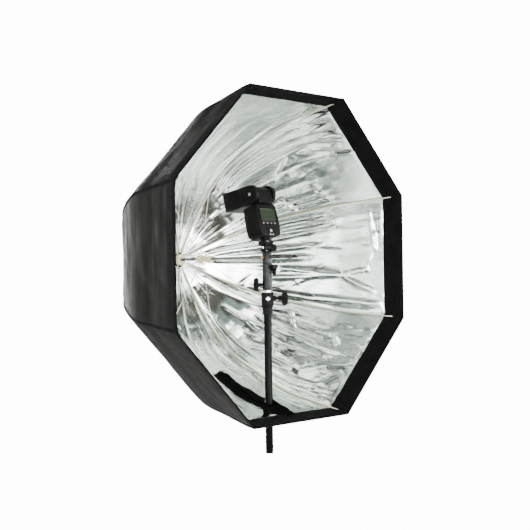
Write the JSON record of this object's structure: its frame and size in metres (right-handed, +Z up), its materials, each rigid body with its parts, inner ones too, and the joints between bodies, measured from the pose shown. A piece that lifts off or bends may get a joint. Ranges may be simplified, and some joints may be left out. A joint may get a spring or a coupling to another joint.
{
  "type": "studio softbox",
  "caption": "Octagonal umbrella softbox with silver lining on a light stand bracket, with a shoe-mounted flash inside facing the hub.",
  "frame": {"origin": "centre of the lower end face of the stand section that holds the part up", "axes": "+Z up along the stand tube; the softbox opens towards -Y and its hub is at +Y; +X to the right seen from the opening side"},
  "size_m": [0.8024, 0.4826, 0.8937],
  "materials": {
    "gloss_black_paint": "gloss black powder coat",
    "satin_black": "satin moulded",
    "knob_plastic": "satin moulded, lightly textured",
    "gunmetal": "dark anodised, fine turned",
    "bright_metal": "bright turned",
    "brass": "bright knurled",
    "rib_ivory": "ivory coated rod",
    "runner_cream": "semi gloss moulded",
    "cover_cloth": "black woven nylon",
    "lining_foil": "crinkled silver reflective cloth",
    "hem_cloth": "black brushed loop tape",
    "flash_plastic": "fine textured moulded",
    "screen_glass": "green grey display window",
    "clear_lens": "prismatic lamp window",
    "white_card": "plain white",
    "grey_key": "satin grey"
  },
  "bodies": {
    "stand": {"stand_tube": "gloss_black_paint", "stand_end_plug": "satin_black", "stand_collar": "satin_black", "collar_insert": "bright_metal"},
    "collar_knob": {"collar_knob": "knob_plastic"},
    "riser": {"riser_spigot": "bright_metal"},
    "adaptor": {"adaptor_tube": "gunmetal"},
    "stud_knob": {"stud_lock_knob": "knob_plastic"},
    "wing_knob": {"wing_lock_knob": "knob_plastic"},
    "holder": {"holder_block": "gunmetal", "tilt_fork": "satin_black"},
    "umbrella_screw": {"umbrella_lock_screw": "brass"},
    "tilt_knob": {"tilt_lock_knob": "knob_plastic"},
    "shoe": {"shoe": "satin_black"},
    "flash": {"flash_body": "flash_plastic", "flash_foot": "bright_metal", "screen_window": "screen_glass"},
    "foot_ring": {"foot_lock_ring": "knob_plastic"},
    "button_1": {"button_1": "flash_plastic"},
    "button_2": {"button_2": "flash_plastic"},
    "button_3": {"button_3": "flash_plastic"},
    "button_4": {"button_4": "flash_plastic"},
    "dial": {"select_dial": "knob_plastic"},
    "set_key": {"set_button": "grey_key"},
    "battery_door": {"battery_door": "flash_plastic"},
    "turret": {"head_turret": "flash_plastic"},
    "head": {"flash_head": "flash_plastic", "head_lens": "clear_lens"},
    "release_key": {"tilt_release_button": "grey_key"},
    "bounce_card": {"bounce_card": "white_card"},
    "umbrella": {"shaft": "bright_metal", "shaft_end_cap": "satin_black", "crown_hub": "runner_cream", "crown_ferrule": "satin_black"},
    "runner": {"runner": "runner_cream"},
    "latch": {"runner_latch": "satin_black"},
    "rib_1": {"rib_1": "rib_ivory", "cover_panel_1": "cover_cloth"},
    "strut_1": {"strut_1": "rib_ivory"},
    "rib_2": {"rib_2": "rib_ivory", "cover_panel_2": "cover_cloth"},
    "strut_2": {"strut_2": "rib_ivory"},
    "rib_3": {"rib_3": "rib_ivory", "cover_panel_3": "cover_cloth"},
    "strut_3": {"strut_3": "rib_ivory"},
    "rib_4": {"rib_4": "rib_ivory", "cover_panel_4": "cover_cloth"},
    "strut_4": {"strut_4": "rib_ivory"},
    "rib_5": {"rib_5": "rib_ivory", "cover_panel_5": "cover_cloth"},
    "strut_5": {"strut_5": "rib_ivory"},
    "rib_6": {"rib_6": "rib_ivory", "cover_panel_6": "cover_cloth"},
    "strut_6": {"strut_6": "rib_ivory"},
    "rib_7": {"rib_7": "rib_ivory", "cover_panel_7": "cover_cloth"},
    "strut_7": {"strut_7": "rib_ivory"},
    "rib_8": {"rib_8": "rib_ivory", "cover_panel_8": "cover_cloth"},
    "strut_8": {"strut_8": "rib_ivory"}
  },
  "joints": [
    {"name": "collar_knob_turn", "type": "hinge", "parent": "stand", "child": "collar_knob", "pos_m": [0, 0, 0.389], "axis": [0.7071, -0.7071, 0], "range_deg": [-360, 0]},
    {"name": "riser_slide", "type": "slide", "parent": "stand", "child": "riser", "axis": [0, 0, 1], "range_m": [0, 0.18]},
    {"name": "adaptor_swivel", "type": "hinge", "parent": "riser", "child": "adaptor", "pos_m": [0, 0, 0.43], "axis": [0, 0, 1], "continuous": true},
    {"name": "stud_knob_turn", "type": "hinge", "parent": "adaptor", "child": "stud_knob", "pos_m": [0, 0, 0.4242], "axis": [-0.7071, 0.7071, 0], "range_deg": [-360, 0]},
    {"name": "wing_knob_turn", "type": "hinge", "parent": "adaptor", "child": "wing_knob", "pos_m": [0, 0, 0.4638], "axis": [0.342, -0.9397, 0], "range_deg": [-360, 0]},
    {"name": "holder_swivel", "type": "hinge", "parent": "adaptor", "child": "holder", "pos_m": [0, 0, 0.46], "axis": [0, 0, 1], "continuous": true},
    {"name": "umbrella_screw_turn", "type": "hinge", "parent": "holder", "child": "umbrella_screw", "pos_m": [0, 0, 0.4925], "axis": [-1, 0, 0], "range_deg": [-360, 0]},
    {"name": "shaft_slide", "type": "slide", "parent": "holder", "child": "umbrella", "axis": [0, 1, 0], "range_m": [-0.06, 0.03]},
    {"name": "tilt_knob_turn", "type": "hinge", "parent": "holder", "child": "tilt_knob", "pos_m": [0, 0, 0.5165], "axis": [1, 0, 0], "range_deg": [-360, 0]},
    {"name": "shoe_tilt", "type": "hinge", "parent": "holder", "child": "shoe", "pos_m": [0, 0, 0.5165], "axis": [1, 0, 0], "range_deg": [-30, 60]},
    {"name": "foot_ring_turn", "type": "hinge", "parent": "flash", "child": "foot_ring", "pos_m": [0, 0.00472, 0.53542], "axis": [0, 0.2419, 0.9703], "range_deg": [-120, 0]},
    {"name": "foot_slide", "type": "slide", "parent": "shoe", "child": "flash", "axis": [0, -0.9703, 0.2419], "range_m": [0, 0.018]},
    {"name": "button_1_press", "type": "slide", "parent": "flash", "child": "button_1", "axis": [0, 0.9703, -0.2419], "range_m": [0, 0.001], "stiffness_N_per_m": 300},
    {"name": "button_2_press", "type": "slide", "parent": "flash", "child": "button_2", "axis": [0, 0.9703, -0.2419], "range_m": [0, 0.001], "stiffness_N_per_m": 300},
    {"name": "button_3_press", "type": "slide", "parent": "flash", "child": "button_3", "axis": [0, 0.9703, -0.2419], "range_m": [0, 0.001], "stiffness_N_per_m": 300},
    {"name": "button_4_press", "type": "slide", "parent": "flash", "child": "button_4", "axis": [0, 0.9703, -0.2419], "range_m": [0, 0.001], "stiffness_N_per_m": 300},
    {"name": "dial_turn", "type": "hinge", "parent": "flash", "child": "dial", "pos_m": [0, -0.01519, 0.55893], "axis": [0, 0.9703, -0.2419], "continuous": true},
    {"name": "set_press", "type": "slide", "parent": "flash", "child": "set_key", "axis": [0, 0.9703, -0.2419], "range_m": [0, 0.001], "stiffness_N_per_m": 300},
    {"name": "battery_door_slide", "type": "slide", "parent": "flash", "child": "battery_door", "axis": [0, -0.2419, -0.9703], "range_m": [0, 0.008]},
    {"name": "turret_pan", "type": "hinge", "parent": "flash", "child": "turret", "pos_m": [0, 0.01691, 0.62565], "axis": [0, 0.2419, 0.9703], "range_deg": [-180, 180]},
    {"name": "head_tilt", "type": "hinge", "parent": "turret", "child": "head", "pos_m": [0, 0.02308, 0.65039], "axis": [1, 0, 0], "range_deg": [0, 90]},
    {"name": "release_press", "type": "slide", "parent": "head", "child": "release_key", "axis": [1, 0, 0], "range_m": [0, 0.001], "stiffness_N_per_m": 300},
    {"name": "card_slide", "type": "slide", "parent": "head", "child": "bounce_card", "axis": [0, 0.9703, -0.2419], "range_m": [0, 0.033]},
    {"name": "runner_slide", "type": "slide", "parent": "umbrella", "child": "runner", "axis": [0, -1, 0], "range_m": [0, 0.11868]},
    {"name": "latch_press", "type": "hinge", "parent": "runner", "child": "latch", "pos_m": [0, 0.23614, 0.5015], "axis": [1, 0, 0], "range_deg": [0, 5], "stiffness_Nm_per_rad": 0.05},
    {"name": "fold", "type": "hinge", "parent": "umbrella", "child": "rib_1", "pos_m": [0.01109, 0.338, 0.49709], "axis": [0.3827, 0, -0.9239], "range_deg": [0, 20], "deforming": ["cover_panel_1", "cover_panel_2", "cover_panel_3", "cover_panel_4", "cover_panel_5", "cover_panel_6", "cover_panel_7", "cover_panel_8"]},
    {"name": "rib_2_fold", "type": "hinge", "parent": "umbrella", "child": "rib_2", "pos_m": [0.00459, 0.338, 0.50359], "axis": [0.9239, 0, -0.3827], "range_deg": [0, 20]},
    {"name": "rib_3_fold", "type": "hinge", "parent": "umbrella", "child": "rib_3", "pos_m": [-0.00459, 0.338, 0.50359], "axis": [0.9239, 0, 0.3827], "range_deg": [0, 20]},
    {"name": "rib_4_fold", "type": "hinge", "parent": "umbrella", "child": "rib_4", "pos_m": [-0.01109, 0.338, 0.49709], "axis": [0.3827, 0, 0.9239], "range_deg": [0, 20]},
    {"name": "rib_5_fold", "type": "hinge", "parent": "umbrella", "child": "rib_5", "pos_m": [-0.01109, 0.338, 0.48791], "axis": [-0.3827, 0, 0.9239], "range_deg": [0, 20]},
    {"name": "rib_6_fold", "type": "hinge", "parent": "umbrella", "child": "rib_6", "pos_m": [-0.00459, 0.338, 0.48141], "axis": [-0.9239, 0, 0.3827], "range_deg": [0, 20]},
    {"name": "rib_7_fold", "type": "hinge", "parent": "umbrella", "child": "rib_7", "pos_m": [0.00459, 0.338, 0.48141], "axis": [-0.9239, 0, -0.3827], "range_deg": [0, 20]},
    {"name": "rib_8_fold", "type": "hinge", "parent": "umbrella", "child": "rib_8", "pos_m": [0.01109, 0.338, 0.48791], "axis": [-0.3827, 0, -0.9239], "range_deg": [0, 20]},
    {"name": "strut_1_swing", "type": "hinge", "parent": "rib_1", "child": "strut_1", "pos_m": [0.17845, 0.29457, 0.56642], "axis": [0.3827, 0, -0.9239], "range_deg": [-40, 0]},
    {"name": "strut_2_swing", "type": "hinge", "parent": "rib_2", "child": "strut_2", "pos_m": [0.07392, 0.29457, 0.67095], "axis": [0.9239, 0, -0.3827], "range_deg": [-40, 0]},
    {"name": "strut_3_swing", "type": "hinge", "parent": "rib_3", "child": "strut_3", "pos_m": [-0.07392, 0.29457, 0.67095], "axis": [0.9239, 0, 0.3827], "range_deg": [-40, 0]},
    {"name": "strut_4_swing", "type": "hinge", "parent": "rib_4", "child": "strut_4", "pos_m": [-0.17845, 0.29457, 0.56642], "axis": [0.3827, 0, 0.9239], "range_deg": [-40, 0]},
    {"name": "strut_5_swing", "type": "hinge", "parent": "rib_5", "child": "strut_5", "pos_m": [-0.17845, 0.29457, 0.41858], "axis": [-0.3827, 0, 0.9239], "range_deg": [-40, 0]},
    {"name": "strut_6_swing", "type": "hinge", "parent": "rib_6", "child": "strut_6", "pos_m": [-0.07392, 0.29457, 0.31405], "axis": [-0.9239, 0, 0.3827], "range_deg": [-40, 0]},
    {"name": "strut_7_swing", "type": "hinge", "parent": "rib_7", "child": "strut_7", "pos_m": [0.07392, 0.29457, 0.31405], "axis": [-0.9239, 0, -0.3827], "range_deg": [-40, 0]},
    {"name": "strut_8_swing", "type": "hinge", "parent": "rib_8", "child": "strut_8", "pos_m": [0.17845, 0.29457, 0.41858], "axis": [-0.3827, 0, -0.9239], "range_deg": [-40, 0]}
  ],
  "couplings": [
    {"joint": "runner_slide", "follows": "fold", "m_per_rad": 0.33999},
    {"joint": "rib_2_fold", "follows": "fold", "ratio": 1},
    {"joint": "rib_3_fold", "follows": "fold", "ratio": 1},
    {"joint": "rib_4_fold", "follows": "fold", "ratio": 1},
    {"joint": "rib_5_fold", "follows": "fold", "ratio": 1},
    {"joint": "rib_6_fold", "follows": "fold", "ratio": 1},
    {"joint": "rib_7_fold", "follows": "fold", "ratio": 1},
    {"joint": "rib_8_fold", "follows": "fold", "ratio": 1},
    {"joint": "strut_1_swing", "follows": "fold", "ratio": -2},
    {"joint": "strut_2_swing", "follows": "fold", "ratio": -2},
    {"joint": "strut_3_swing", "follows": "fold", "ratio": -2},
    {"joint": "strut_4_swing", "follows": "fold", "ratio": -2},
    {"joint": "strut_5_swing", "follows": "fold", "ratio": -2},
    {"joint": "strut_6_swing", "follows": "fold", "ratio": -2},
    {"joint": "strut_7_swing", "follows": "fold", "ratio": -2},
    {"joint": "strut_8_swing", "follows": "fold", "ratio": -2}
  ]
}
